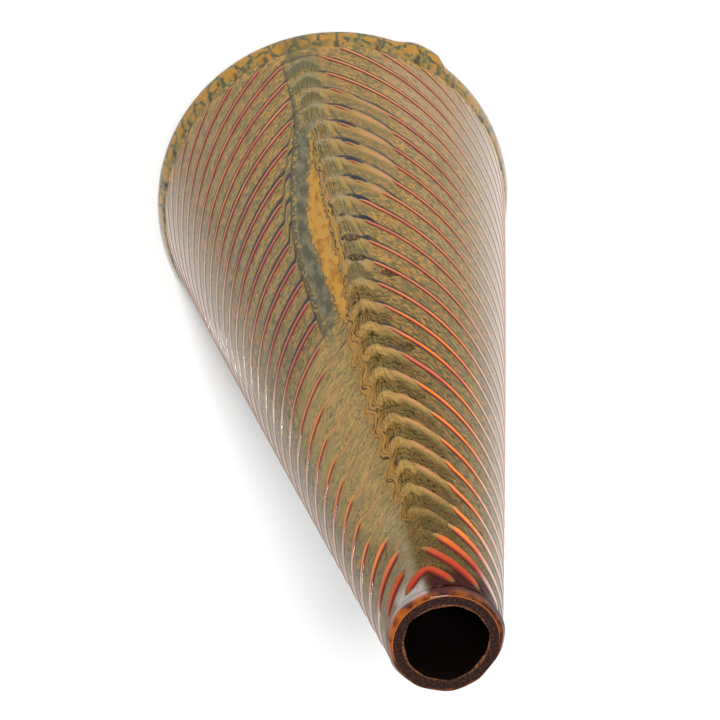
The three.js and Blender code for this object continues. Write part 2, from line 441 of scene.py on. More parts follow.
def course(points, x):
    """A value that goes straight from point to point, each given as a place and a value."""
    return np.interp(x, *zip(*points))


def right_of(edge, angle, depth):
    """How far a point is to the right of an edge."""
    return np.radians(angle - course(edge, depth / height)) * cone_radius(height - depth)


def inside(angle, depth, left, right):
    """How far a point is inside a streak of colour with the given left and right edges."""
    return np.minimum(right_of(left, angle, depth), -right_of(right, angle, depth))


# Edges of the streaks of colour beside the seam: share of the height below the lip, angle
streak_left = ((0.395, -18), (0.42, -19), (0.46, -19.2), (0.5, -19.3), (0.56, -18.6), (0.6, -16.8),
               (0.65, -14.2), (0.7, -10.9), (0.75, -7.6), (0.79, -4.9), (0.84, -3.8), (0.955, -3.4))
streak_right = ((0.395, -16), (0.42, -12.5), (0.46, -11.5), (0.5, -12), (0.56, -12.5), (0.6, -12),
                (0.65, -8.5), (0.7, -5.4), (0.75, -2), (0.79, 1.5), (0.84, 1.5))
tongue_left = ((0.385, -5), (0.395, -8.5), (0.42, -10.5), (0.46, -11.5), (0.5, -12), (0.56, -12.5),
               (0.6, -12), (0.65, -8.5), (0.7, -5.4), (0.765, -2))
tongue_right = ((0.05, -8), (0.12, -10.5), (0.2, -11), (0.35, -11), (0.395, -8.5), (0.42, -6), (0.46, -5),
                (0.5, -4.6), (0.55, -4.6), (0.6, -4), (0.65, -3.2), (0.7, -3.2), (0.74, -2.6), (0.765, -2))
smear_left = ((0.07, -14), (0.1, -52), (0.24, -64), (0.31, -57), (0.37, -42), (0.41, -20), (0.43, -16))
smear_right = ((0.07, -6), (0.1, -4), (0.3, -6), (0.37, -8), (0.4, -12), (0.43, -18))
hump_left = ((0.05, -4), (0.42, -4), (0.5, -1.5), (0.8, -1), (0.86, -3.8), (0.97, -4))
hump_right = ((0.05, 9), (0.45, 8), (0.6, 5.5), (0.8, 5.2), (0.88, 6.4), (0.97, 6.4))
to_millimetres = 1000

# The folded glass beside the seam, with angles from the front for shares of the height below the lip
fold_left = ((0.05, 0), (0.1, -4), (0.38, -4), (0.46, 3), (0.88, 4))
fold_right = ((0.05, 4), (0.1, 33), (0.17, 33), (0.27, 22), (0.38, 14), (0.45, 9), (0.5, 10), (0.57, 11),
              (0.62, 19), (0.66, 26), (0.8, 27), (0.84, 16), (0.88, 8))
line_place = ((5, 0.1), (7, 0.24), (12, 0.31), (16, 0.34), (20, 0.3), (24, 0.19), (28, 0.11), (33, 0.1))
plain_line = 0.1


def fold_share(angle, depth):
    """Where the overlay is folded over the trail beside the seam, from 0 to 1."""
    share = depth / height
    left, right = course(fold_left, share), course(fold_right, share)
    return rise(left - 2, left + 2, angle) * rise(right + 3, right - 3, angle) * rise(0.05, 0.1, share)


def line_edge(angle, depth):
    """Where the dark line beside each turn runs, as a share of the turn."""
    folded = rise(0.58, 0.64, depth / height) * rise(0.84, 0.8, depth / height)
    return plain_line + (course(line_place, angle) - plain_line) * folded


def signed_phase(turn):
    """Place between two turns: 0 on a turn, up to a half towards the foot, down to -half to the lip."""
    return turn - np.rint(turn)


def pocket_share(angle, depth, phase):
    """The lens-shaped hollows between the folds and the humps."""
    share = depth / height
    lens = 1 - ((angle - 11.2) / 3.8) ** 2 - ((phase - 0.15) / 0.11) ** 2
    return rise(0, 0.6, lens) * rise(0.5, 0.55, share) * rise(0.83, 0.8, share)


def skin_relief(angle, depth, turn):
    """Height of the overlay's outside above the plain cone."""
    phase = signed_phase(turn)
    folds = fold_share(angle, depth)
    swell = pillow * rise(0, 0.35, np.abs(phase))
    groove = groove_depth * rise(0.07, 0.02, np.abs(phase - line_edge(angle, depth)))
    near_seam = 0.4 + 0.6 * rise(70, 25, np.abs(angle))
    mound = rise(-0.4, 0, phase) * rise(0.34, 0.05, phase)
    smooth = np.clip(inside(angle, depth, streak_left, tongue_right) / 0.002, 0, 1)
    hollow = pocket_depth * pocket_share(angle, depth, phase)
    return skin_lift + (swell - groove * near_seam + fold_height * folds * mound - hollow) * (1 - smooth)


def set_attribute(piece, name, values):
    layer = piece.data.attributes.new(name, "FLOAT", "POINT")
    layer.data.foreach_set("value", values.astype(np.float32))


def mark_streaks(piece, angle, depth, turn):
    """Stores where the combed colours lie, for the finish to read."""
    set_attribute(piece, "laid", turn - angle / 360)
    set_attribute(piece, "fold", fold_share(angle, depth))
    set_attribute(piece, "line_edge", line_edge(angle, depth))
    for name, edge in (("from_edge", streak_left), ("from_tongue", tongue_right)):
        set_attribute(piece, name, right_of(edge, angle, depth) * to_millimetres)
    for name, left, right in (("streak", streak_left, streak_right), ("tongue", tongue_left, tongue_right),
                              ("smear", smear_left, smear_right)):
        set_attribute(piece, name, inside(angle, depth, left, right) * to_millimetres)
    left, right = course(hump_left, depth / height), course(hump_right, depth / height)
    set_attribute(piece, "across_hump", (2 * angle - left - right) / (right - left))


def begin_grid(columns, rows):
    """Adds a flat grid of cells, with how far along it and across it each point lies, from 0 to 1."""
    piece = begin_shape(bpy.ops.mesh.primitive_grid_add, x_subdivisions=columns, y_subdivisions=rows, size=1)
    bpy.ops.object.mode_set(mode="OBJECT")
    places = points_of(piece) + 0.5
    return piece, places[:, 0], places[:, 1]


columns = np.concatenate([
    np.linspace(-180, -90, 23)[:-1], np.linspace(-90, -32, 34)[:-1], np.linspace(-32, 36, 118)[:-1],
    np.linspace(36, 90, 31)[:-1], np.linspace(90, 180, 23)])
row_phases = np.array([0, 0.035, 0.07, 0.11, 0.16, 0.22, 0.29, 0.38, 0.5, 0.64, 0.77, 0.87, 0.95])
first_row, last_row = -5, 37
rows = np.append((np.arange(first_row, last_row)[:, None] + row_phases).ravel(), last_row)
overlay, along_grid, across_grid = begin_grid(len(columns) - 1, len(rows) - 1)
angle = columns[np.rint(along_grid * (len(columns) - 1)).astype(int)]
turn = rows[np.rint(across_grid * (len(rows) - 1)).astype(int)]
depth_limits = height - overlay_high.z, height - overlay_low.z
depth = combed_depth(turn, angle)
foot_turns = []
for column in columns:
    here = angle == column
    order = np.argsort(turn[here])
    ends = np.interp(depth_limits, depth[here][order], turn[here][order])
    turn[here] = np.clip(turn[here], *ends)
    foot_turns.append(ends[1])
depth = np.clip(depth, *depth_limits)
move_points(overlay, cone_points(angle, depth, skin_relief(angle, depth, turn)))
mark_streaks(overlay, angle, depth, turn)
face_outwards()
bpy.ops.mesh.select_all(action="DESELECT")
bpy.ops.mesh.select_mode(type="EDGE")
bpy.ops.mesh.select_non_manifold(use_wire=False, use_multi_face=False, use_non_contiguous=False,
                                 use_verts=False)
bpy.ops.mesh.extrude_edges_move(TRANSFORM_OT_translate={"value": (0, 0, 0)})
bpy.ops.object.mode_set(mode="OBJECT")
inner = np.zeros(len(overlay.data.vertices), bool)
overlay.data.vertices.foreach_get("select", inner)
places = points_of(overlay)
radius = np.hypot(places[:, 0], places[:, 1])
places[inner, :2] *= (1 - (casing + skin_lift) / radius[inner])[:, None]
move_points(overlay, places)
bpy.ops.object.mode_set(mode="EDIT")
bpy.ops.mesh.bridge_edge_loops(number_cuts=2)
overlay = end_shape(overlay, "marbled_overlay_skin", 80)

ochre = (0.385, 0.205, 0.042)
orange = (0.46, 0.16, 0.018)
grey_green = (0.095, 0.105, 0.062)
beige = (0.29, 0.185, 0.065)
slate = (0.024, 0.028, 0.038)
brown = (0.018, 0.01, 0.002)
glint = (0.235, 0.205, 0.118)
shade = (0.105, 0.088, 0.04)
marigold = (0.35, 0.185, 0.032)
umber = (0.23, 0.09, 0.008)
smoke = (0.07, 0.074, 0.046)

# Brown spots in the glass: angle, share of the height below the lip, half width, half height
spots = ((2, 0.582, 1.6, 0.006), (3, 0.538, 4.2, 0.009), (3.6, 0.5, 4.2, 0.009), (17, 0.47, 4.5, 0.008),
         (18.5, 0.343, 4.5, 0.007))


def marble(finish):
    """Colour of the combed glass, and the height of its fine relief."""
    blend, noise, lines, layers = finish.blend, finish.noise, finish.lines, finish.layers
    laid, fold, dark_line, from_streak, from_tongue, in_streak, in_tongue, in_smear, across_hump = (
        finish.attribute(name) for name in ("laid", "fold", "line_edge", "from_edge", "from_tongue",
                                            "streak", "tongue", "smear", "across_hump"))
    x, y, z = (finish.along(axis) for axis in "XYZ")
    to_right = finish.to_right()
    share = 1 - z / height
    turn = laid + to_right / 360
    phase = (turn + 0.5).fraction() - 0.5
    before_comb = finish.joined(x, y, laid * 0.0095)
    low_down = share.rise(0.5, 0.42)
    round_back = to_right.rise(176, 115)
    on_right = to_right.rise(-9, 10) * round_back

    # Speckled panels between the turns, browner and netted with fine dark lines towards the lip
    drawn = finish.stretched(2.2, before_comb)
    bent = finish.bent(drawn, 500, 0.0016)
    tint = finish.mosaic(1150, bent)
    fine = noise(2100, drawn, 2)
    mottled = noise(520, drawn, 2)
    sideways = to_right.size().rise(20, 50)
    dimmer = 0.45 + 0.2 * on_right * to_right.rise(45, 25) - 0.25 * to_right.size().rise(36, 58)
    net = finish.cell_edge(330, finish.stretched(1.6, bent)).rise(0.07, 0.02)
    panel = layers(
        (0.085, 0.075, 0.024), (tint.rise(0.38, 0.42), ochre), (tint.rise(0.72, 0.76), grey_green),
        (tint.rise(0.9, 0.93), orange),
        (fine.rise(0.4, 0.62) * 0.35, blend(fine.rise(0.5, 0.62), (0.11, 0.095, 0.03), ochre)),
        (share.rise(0.55, 0.1) * dimmer, (0.085, 0.048, 0.007)),
        (to_right.rise(5, -20) * share.rise(0.3, 0.5) * 0.15, (0.13, 0.115, 0.065)),
        # Paler towards the foot, most at the sides: painted light
        (share.rise(0.7, 0.95) * (0.1 + 0.3 * sideways), (0.3, 0.205, 0.105)),
        (share.rise(0.68, 0.85) * to_right.within(30, 62, 8) * 0.4, (0.42, 0.25, 0.13)),
        # A grey-blue painted reflection, strongest at the sides
        (0.03 + 0.12 * sideways, (0.15, 0.215, 0.205)),
        (mottled.rise(0.5, 0.6) * 0.5, (0.095, 0.082, 0.034)),
        (mottled.rise(0.46, 0.38) * 0.45, (0.32, 0.19, 0.055)),
        (net * share.rise(0.55, 0.35) * 0.75, brown))

    # Smeared glass on the left, pulled into long strands
    strands = noise(360, finish.stretched(3.5, before_comb), 5, 0.6)
    drift = noise(1, finish.joined(to_right * 0.14, turn * 1.6, 0), 2)
    wisps = lines(turn * 4 + drift * 8, 0.15) * strands.rise(0.75, 0.45)
    smeared = layers((0.19, 0.148, 0.062), (strands.rise(0.36, 0.64), (0.335, 0.217, 0.072)),
                     (wisps * 0.75, (0.07, 0.064, 0.034)))
    smear = (in_smear + (noise(170) - 0.5) * 6).rise(-3, 7)
    faded = phase.within(-0.08, 0.08, 0.07) * to_right.within(-48, -22, 6) * share.within(0.1, 0.4, 0.03)

    # Folds over the turns beside the seam, beige glass with a painted highlight along each crest and painted
    # shade off it, with long dark strokes between them near the lip
    edge = phase - dark_line
    mound = phase.rise(-0.45, -0.15) * edge.rise(0.02, -0.1) * fold
    streaky = noise(500, finish.stretched(4, before_comb))
    # The crest of each fold is painted lighter as a highlight, and its flanks darker as shade
    fold_crest_highlight = blend(low_down, (0.32, 0.19, 0.07), (0.33, 0.2, 0.06))
    fold_glass_shaded = blend(phase.size().rise(0.3, 0.05), (0.16, 0.115, 0.036), fold_crest_highlight)
    warm_part = to_right.within(13, 27, 4) * share.within(0.6, 0.84, 0.03)
    warm_part = warm_part + to_right.within(9, 22, 4) * share.within(0.1, 0.45, 0.03) * 1.5
    between = fold * low_down * (phase.rise(-0.22, -0.5) + phase.rise(0.06, 0.2))
    waved = turn + (noise(260, None, 2) - 0.5) * 0.1
    broken = noise(1, finish.joined(to_right * 0.15, turn * 4, 3), 2).rise(0.36, 0.52)
    strokes = lines(waved * 5 + drift * 5, 0.18) * (0.25 + 0.75 * broken)
    clear_panels = low_down * to_right.within(4, 45, 6) * (1 - between) * (1 - mound)
    skin = layers(
        panel, (smear * 0.85, smeared), (faded * 0.5, (0.42, 0.165, 0.055)),
        (fold * (1 - low_down) * 0.4, (0.125, 0.1, 0.052)),
        (mound * (0.5 + 0.5 * streaky), fold_glass_shaded),
        (phase.within(-0.1, 0.08, 0.06) * fold * warm_part * 0.5, (0.44, 0.19, 0.08)),
        (between * 0.65, (0.085, 0.048, 0.007)),
        ((between * 0.95 + 0.2 * fold * low_down + 0.4 * clear_panels) * strokes, brown))

    # Cells and brush strokes of the marigold tongue, and ribbons of cells that zigzag down beside the
    # seam, one bend for every turn
    wander = (noise(420) - 0.5) * 3 + (noise(150) - 0.5) * 3
    tongue_depth = in_tongue + wander
    tongue = tongue_depth.rise(-0.1, 0.2)
    brushed = noise(520, finish.stretched(0.35), 4, 0.5).rise(0.42, 0.7)
    zigzag = (turn.fraction() - 0.5).size().rise(0, 0.5) * 2 - 1
    uneven = (noise(170, None, 2) - 0.5) * 2.4
    ribbon = from_tongue + zigzag * (0.3 + 0.6 * low_down) + uneven
    cell = ribbon * (0.7 + 0.3 * low_down) + noise(1, finish.joined(ribbon * 0.6, turn, 0), 2) * 4
    cells = blend((cell + 0.5).fraction().rise(0.2, 0.8), beige, marigold)
    ribbons = ribbon.within(-0.1, 3.2 + 2 * share.within(0.16, 0.42, 0.03), 0.3)
    ribbons = ribbons * share.rise(0.04, 0.1) * share.rise(0.83, 0.8)
    skin = layers(
        skin, (tongue, blend(brushed, marigold, umber)),
        (ribbons * (0.85 - 0.15 * low_down), blend(tint * 0.5 + 0.22 * low_down, cells, umber)),
        (ribbons * lines(cell, 0.18) * 0.95, (0.024, 0.021, 0.009)),
        (tongue_depth.within(-0.35, -0.05, 0.12) * 0.75, (0.045, 0.048, 0.026)))

    # The grey-green streak beside the tongue, with beads of ochre and a dark edge on its left
    uneven_end = (share + (strands - 0.5) * 0.16).rise(0.36, 0.42)
    streak = (in_streak + wander * 0.8).rise(-0.3, 0.6) * share.rise(0.84, 0.76)
    streak = streak * uneven_end * (1 - tongue)
    misty = noise(450, finish.stretched(0.3), 4).rise(0.35, 0.65)
    from_edge = from_streak + wander * 0.25
    seam_part = share.rise(0.965, 0.93) * uneven_end
    bead = finish.cell_edge(520, finish.stretched(0.6)).rise(0.1, 0.3)
    skin = layers(
        skin,
        (from_edge.within(-1.4, -0.1, 0.25) * seam_part * 0.85,
         blend(bead, (0.06, 0.062, 0.035), (0.25, 0.175, 0.07))),
        (streak * 0.95, blend(misty, (0.056, 0.055, 0.033), (0.138, 0.126, 0.076))),
        (from_edge.within(-1.85, -1.4, 0.3) * seam_part * 0.9, (0.016, 0.019, 0.024)))

    # Humps over the seam: each pale top painted lighter as a highlight, the combed hollow towards the lip
    # painted with shade, pale combed streaks painted as glints, and ochre lobes beside them
    on_hump = across_hump.within(-1, 1, 0.22)
    over_seam = on_hump * share.rise(0.965, 0.945) * share.rise(0.07, 0.12)
    fan = to_right + (to_right - 2) * phase * low_down * 1.2
    combing = noise(1, finish.joined(fan * (2.2 - low_down), turn * 0.6, 0))
    splay = noise(1, finish.joined(fan * 0.35, turn * 1.1, 5), 1)
    fan_lines = lines(fan * (1 - 0.5 * low_down) + splay * 3, 0.19)
    middle = share.within(0.49, 0.82, 0.03)
    doming = across_hump * across_hump * (0.3 - 0.22 * low_down - 0.18 * middle)
    place = (turn + doming + 0.5).fraction() - 0.5
    top_edge = -0.17 - 0.12 * low_down
    hump_top_highlight = over_seam * place.within(top_edge, 0.02, 0.09)
    hollow = place.rise(top_edge, top_edge - 0.13) + place.rise(0.08 - 0.05 * low_down, 0.42 - 0.25 * low_down)
    lobes = across_hump.within(0.75, 1.35, 0.15) * phase.within(-0.45, 0.02, 0.1)
    left_lobes = across_hump.within(-1.15, -0.75, 0.12) * phase.within(-0.4, 0.1, 0.1)
    lobes = lobes * share.within(0.45, 0.93, 0.02) + left_lobes * share.within(0.82, 0.95, 0.01)
    low_top = blend(streaky.rise(0.35, 0.65), (0.21, 0.13, 0.034), (0.39, 0.235, 0.06))
    smoky = across_hump.within(-1.2, 1.2, 0.3) * share.rise(0.87, 0.95) * noise(300).rise(0.3, 0.6)
    # Painted shade in the hollows, a painted highlight on the hump tops and painted glints along the combing
    skin = layers(
        skin,
        (over_seam * hollow * (0.85 - 0.3 * middle), blend(low_down, shade, (0.145, 0.087, 0.014))),
        (lobes * 0.75, (0.29, 0.18, 0.045)),
        (hump_top_highlight * (0.45 + 0.5 * combing) * (1 - 0.3 * middle), blend(low_down, glint, low_top)),
        (over_seam * (middle + 0.25 * low_down) * combing.rise(0.52, 0.62) * 0.45, (0.3, 0.25, 0.15)),
        (over_seam * fan_lines * (0.6 + 0.35 * low_down) * (0.35 + 0.65 * hollow), (0.024, 0.016, 0.004)),
        (over_seam * low_down * hollow * strokes * 0.8, brown),
        (smoky * 0.6, blend(combing.rise(0.4, 0.6), smoke, (0.13, 0.105, 0.04))))

    # Dark line beside each turn, and the hollows where the folds begin
    wide = to_right.rise(0, -20) * to_right.rise(-70, -40) * share.within(0.4, 0.75, 0.06)
    thin = to_right.within(12, 20, 4) * share.within(0.6, 0.83, 0.02)
    line = edge.rise(0.11 + 0.08 * wide - 0.055 * thin, 0.06 + 0.06 * wide - 0.03 * thin)
    line = line * edge.rise(-0.05, -0.02) * to_right.size().rise(88, 30) * share.rise(0.968, 0.96)
    for hidden in (on_hump, 0.6 * smear, streak, ribbons, tongue, share.rise(0.36, 0.28) * fold,
                   from_edge.rise(-1.9, -1.4) * to_right.rise(2, -2) * seam_part,
                   share.rise(0.38, 0.3) * to_right.rise(0, -12)):
        line = line * (1 - hidden)
    across_lens, along_lens = (to_right - 11.5) / 3.6, (phase - 0.2) / 0.13
    pocket = (1 - across_lens * across_lens - along_lens * along_lens).rise(0, 0.4)
    above = (phase - 0.2).fraction()
    tail = (to_right + above * 3.9 - 9.3 + wander * 0.25).size().rise(0.8, 0.1) * above.rise(0.95, 0.35)
    skin = layers(
        skin, (line * (0.9 - 0.25 * thin), slate),
        (pocket * share.within(0.53, 0.82, 0.015), (0.022, 0.028, 0.038)),
        (tail * share.within(0.5, 0.84, 0.015) * 0.7, (0.045, 0.045, 0.026)))

    # Brown spots, crackled
    crackle = finish.cell_edge(700, finish.stretched(0.7)).rise(0.16, 0.06) + fan_lines
    for angle, depth, half_wide, half_tall in spots:
        across, down = (to_right - angle) / half_wide, (share - depth) / half_tall
        spot = (1 - across * across - down * down + (noise(700, None, 2) - 0.5) * 1.2).rise(0, 0.3)
        skin = layers(skin, (spot * 0.8, (0.115, 0.06, 0.012)), (spot * crackle * 0.9, brown),
                      (spot.within(0.2, 0.7, 0.2) * 0.6, brown))

    # Redder glass close to the lip, with a grey smoke on the left, and loose cells and smoke where the
    # comb ran out at the foot band
    dim = blend(fine.rise(0.44, 0.62), (0.016, 0.01, 0.004), (0.15, 0.092, 0.024))
    beside = blend(to_right.rise(-16, -2) * round_back, (0.17, 0.13, 0.085), dim)
    greyed = to_right.within(-26, -10, 6) * share.within(0.01, 0.12, 0.02) * strands.rise(0.35, 0.65)
    # A pale grey painted reflection on the left, just below the lip
    painted_lip_sheen = to_right.within(-40, -7, 5) * share.rise(0.032, 0.014) * strands.rise(0.2, 0.5)
    swirl = noise(330, finish.stretched(0.5), 2, 1.5).rise(0.42, 0.55)
    fringe = (share + (noise(120, None, 2) - 0.5) * 0.05).rise(0.942, 0.954)
    tip = phase.within(-0.02, 0.12, 0.05) * share.within(0.946, 0.964, 0.004) * to_right.size().rise(95, 70)
    skin = layers(
        skin, (share.rise(0.1, 0.02) * 0.7, beside),
        (share.rise(0.15, 0.08) * to_right.within(-9, 38, 6) * 0.6, dim),
        (greyed * 0.45, (0.2, 0.18, 0.135)), (painted_lip_sheen * 0.7, (0.36, 0.34, 0.33)),
        (share.rise(0.036, 0.022) * to_right.rise(-8, 2) * round_back * 0.9, (0.026, 0.003, 0.003)),
        (fringe * (1 - smoky) * 0.8, blend(swirl, (0.1, 0.1, 0.055), (0.37, 0.205, 0.05))),
        (tip * 0.8, slate))
    return skin, fine + strands * smear + tint * 0.5


marbled_refraction = 1.14


def side_gloss(finish):
    """The sides of the vase are glossier than the combed front."""
    on_right = finish.along("X").rise(0.02, -0.02)
    towards_lip = finish.along("Z").rise(0.12 * height, 0.62 * height)
    return finish.to_right().size().rise(45, 90) * 0.88 * (1 - (0.6 - 0.42 * on_right) * towards_lip)


marbled = Finish("marbled glass", 0.3, marbled_refraction)
marbled_colour, marbled_relief = marble(marbled)
marbled.paint(overlay, base_color=marbled_colour, coat_weight=side_gloss(marbled),
              normal=marbled.bump(marbled_relief, 0.00006))
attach(overlay, "root")
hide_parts("marbled_overlay")


# Wound trail
# One thread of red glass wound hot from lip to foot and melted in. Each turn ends at the seam, where
# the comb cut it, and thins out into the overlay there.
trail_half_width = 0.00078
trail_crest = 0.0005
trail_sink = 0.0004
fold_cover = 0.0009
trail_step = 1.6
soft_end = 11
sharp_end = 3
trail_count = len([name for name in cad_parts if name.startswith("trail_")])
last_turn = 33
arch_crossing = 15
arch_round = 5
early_starts = ((0.02, 4), (0.03, 2), (0.08, 3), (0.13, 7), (0.36, 7), (0.42, 2), (1, 2))
late_ends = ((0.02, 4), (0.03, 0), (0.1, 3), (0.15, 6), (0.36, 6), (0.42, 0), (1, 0))
clear_of_ends = 0.0014
shortest_stretch = 18
round_steps = 12
fewest_steps = 12


def clear_of_seam(angle, depth):
    clear_on_left = -angle >= stop_angle(left_stops, depth)
    return np.where(angle >= 0, angle >= stop_angle(right_stops, depth), clear_on_left)


def turn_path(turn):
    """The angle and depth of a turn from the right of the front, by the back, to the left."""
    def path(position):
        on_right = position <= half_round
        angle = np.where(on_right, position, position - 360)
        right_depth = turn_depth("right", turn, position)
        left_depth = turn_depth("left", turn - 1, 360 - position)
        return angle, np.where(on_right, right_depth, left_depth)
    return path


def arch_path(position):
    on_right = rise(-arch_crossing, arch_crossing, position)
    from_front = np.hypot(position, arch_round)
    from_right, from_left = (turn_depth(side, -1, from_front) for side in ("right", "left"))
    return position, from_left + (from_right - from_left) * on_right


def clear_stretches(path, start, end, clear):
    """Stretches of a path between the lip wrap and the foot band, clear of the seam."""
    positions = np.arange(start, end + 1.0)
    angle, depth = path(positions)
    between = (depth > depth_limits[0] + clear_of_ends) & (depth < depth_limits[1] - clear_of_ends)
    held = np.concatenate([[False], between & clear(angle, depth), [False]])
    changes = np.flatnonzero(held[1:] != held[:-1])
    stretches = zip(positions[changes[::2]], positions[changes[1::2] - 1])
    return [(a, b) for a, b in stretches if b - a > shortest_stretch]


def end_fade(path, position):
    """Degrees over which a turn dies away: slowly in the smeared glass near the lip, else sharply."""
    depth = path(np.array([position], float))[1][0]
    return sharp_end + (soft_end - sharp_end) * (1 - rise(0.38, 0.44, depth / height))


def lay_trail(name, path, start, end):
    """A closed thread of glass along a stretch of a path, drawn out to nothing at both ends."""
    start -= course(early_starts, path(np.array([start]))[1][0] / height)
    end += course(late_ends, path(np.array([end]))[1][0] / height)
    steps = max(int((end - start) / trail_step), fewest_steps)
    thread, along, round_thread = begin_grid(steps, round_steps)
    position = start + along * (end - start)
    around = round_thread * 2 * math.pi
    angle, depth = path(position)
    ahead = cone_points(*path(position + 0.5), 0) - cone_points(*path(position - 0.5), 0)
    here = cone_points(angle, depth, 0)
    outward = cone_points(angle, depth, 1) - here
    outward /= np.linalg.norm(outward, axis=1)[:, None]
    across = np.cross(ahead, outward)
    across /= np.linalg.norm(across, axis=1)[:, None]
    first, last = end_fade(path, start), end_fade(path, end)
    size = rise(0, first, position - start) * rise(0, last, end - position)
    share = depth / height
    folds = fold_share(angle, depth) * rise(0.6, 0.64, share)
    folded = folds * rise(15, 19, angle)
    side = np.cos(around)
    to_side = rise(35, 75, np.abs(angle)) * rise(135, 100, np.abs(angle))
    widened = 0.85 * rise(0.13, 0.05, share) + 0.25 * rise(0.45, 0.3, share) * rise(10, 20, angle)
    slender = to_side * (0.35 + 0.25 * rise(0.55, 0.35, share))
    spread = trail_half_width * (1 - slender - 0.35 * folds * rise(22, 12, angle) + widened)
    crest_height = trail_crest * (1 - 0.3 * to_side)
    up = np.where(np.sin(around) > 0, crest_height * (1 - side ** 2) ** 0.7, trail_sink * np.sin(around))
    up = up * (0.35 + 0.65 * size) - fold_cover * folded + skin_relief(angle, depth, np.zeros_like(angle))
    places = here + across * (side * spread * (0.25 + 0.75 * size) * np.minimum(size * 8, 1))[:, None]
    places += outward * (up * np.minimum(size * 4, 1))[:, None]
    move_points(thread, places)
    set_attribute(thread, "across", side)
    set_attribute(thread, "drawn_out", size * (1 - folds * rise(10, 16, angle)))

    # Warmer glass on the right and low on the left; the bright orange low on the right is a painted highlight
    warmest_and_highlight = rise(8, 25, angle) * rise(0.5, 0.3, share) * rise(75, 50, angle)
    warmest_and_highlight += 1.5 * rise(-10, -25, angle) * rise(0.4, 0.28, share) * rise(-80, -60, angle)
    set_attribute(thread, "warmth_and_highlight", rise(-20, 20, angle) * rise(176, 115, angle) + warmest_and_highlight)
    set_attribute(thread, "to_side", to_side)
    face_outwards()
    return end_shape(thread, name, 80)


arch_stretches = clear_stretches(arch_path, -180, 180, lambda angle, depth: depth > 0)
paths = [(arch_path, stretch) for stretch in arch_stretches]
for turn in range(last_turn + 1):
    path = turn_path(turn)
    paths += [(path, stretch) for stretch in clear_stretches(path, 0, 360, clear_of_seam)]

red_glass = Finish("red trail glass", 0.3, marbled_refraction)
trail_x, trail_z = red_glass.along("X"), red_glass.along("Z")
across, warmth_and_highlight, to_side, drawn_out = (
    red_glass.attribute(name) for name in ("across", "warmth_and_highlight", "to_side", "drawn_out"))
near_lip = trail_z.rise(0.91 * height, 0.97 * height)
on_left = trail_x.rise(0, 0.01)
glow = warmth_and_highlight.rise(0.7, 1.5) * on_left
on_foot = trail_z.rise(0.32 * height, 0.15 * height) * trail_x.rise(-0.005, -0.02)
dull = trail_z.rise(0.22 * height, 0.35 * height) * on_left * (1 - glow)
flame = red_glass.noise(60).rise(0.4, 0.62) * (0.5 - 0.2 * dull) * (1 - 0.75 * near_lip)
flame_colour = red_glass.blend(warmth_and_highlight.rise(1, 1.6), (0.56, 0.24, 0.1), (0.66, 0.19, 0.03))
# Towards the sides the threads are painted pale, a painted reflection of the white surround, less so along
# their maroon edge
painted_side_reflection = to_side.rise(0.2 + 0.3 * glow, 1.1 + 0.1 * glow) * (0.95 - 0.55 * across.rise(0.35, 0.9))
thread_colour = red_glass.layers(
    (0.39, 0.125, 0.07), (warmth_and_highlight.rise(0, 1), (0.42, 0.135, 0.055)),
    # Bright orange where the warmth is highest: warm glass low on the left, a painted highlight low on the
    # right
    (warmth_and_highlight.rise(1, 2), (0.68, 0.165, 0.02)),
    (on_foot * 0.6, (0.56, 0.28, 0.115)), (dull * 0.5, (0.25, 0.085, 0.062)),
    (near_lip, (0.33, 0.028, 0.006)), (flame, flame_colour),
    (red_glass.noise(45, detail=2).rise(0.52, 0.66) * 0.5, (0.32, 0.06, 0.08)),
    # Maroon along one edge of each thread: painted shade
    (across.rise(0.5, 0.85), (0.125, 0.022, 0.028)),
    (across.size().rise(0.35, 0.9) * near_lip * 0.8, (0.1, 0.01, 0.008)),
    (across.rise(-0.7, -0.92) * (1 - to_side) * (1 - near_lip), slate),
    (drawn_out.rise(1, 0.3), red_glass.blend(near_lip, beige, (0.16, 0.06, 0.02))),
    (painted_side_reflection, (0.57, 0.46, 0.37)))
if len(paths) != trail_count:
    raise ValueError(f"{len(paths)} stretches for {trail_count} trail nodes")
for number, (path, (start, end)) in enumerate(paths, 1):
    thread = lay_trail(f"trail_{number:02d}_thread", path, start, end)
    red_glass.paint(thread, base_color=thread_colour, coat_weight=0.7 * to_side)
    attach(thread, "root")
    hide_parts(f"trail_{number:02d}")


# Combed seam
# The crest that one stroke of the comb left down the front, with a soft hump for every turn.
seam_from, seam_to = 1.5, 23.5
seam_steps_per_turn = 14
seam_columns = 30
seam_angle = 1.6
seam_sway = 0.8
seam_sway_length = 0.633
seam_half_angle = 6.3
seam_relief = 0.0007
hump_relief = 0.00055
seam_sink = 0.0002
seam_thickness = 0.0004

seam, across_seam, along_seam = begin_grid(seam_columns, int((seam_to - seam_from) * seam_steps_per_turn))
side = across_seam * 2 - 1
turn = seam_from + along_seam * (seam_to - seam_from)
run_out = rise(seam_from, seam_from + 2.5, turn) * rise(seam_to, seam_to - 2.5, turn)
depth = combed_depth(turn, np.full_like(turn, seam_angle))
centre = seam_angle + seam_sway * np.sin(2 * math.pi * depth / (seam_sway_length * height))
angle = centre + side * seam_half_angle * (0.35 + 0.65 * run_out)
depth = combed_depth(turn, angle)
phase = signed_phase(turn)
low_half = rise(0.5, 0.4, depth / height)
humps = np.cos(2 * math.pi * (phase + 0.1)) * (1 - 0.6 * low_half)
run_out *= 1 - 0.35 * low_half
crest_relief = (seam_relief + hump_relief * humps) * run_out + seam_sink
relief = skin_relief(angle, depth, turn) + crest_relief * (1 - side ** 2) ** 1.5
move_points(seam, cone_points(angle, depth, relief - seam_sink))
mark_streaks(seam, angle, depth, turn)
face_outwards()
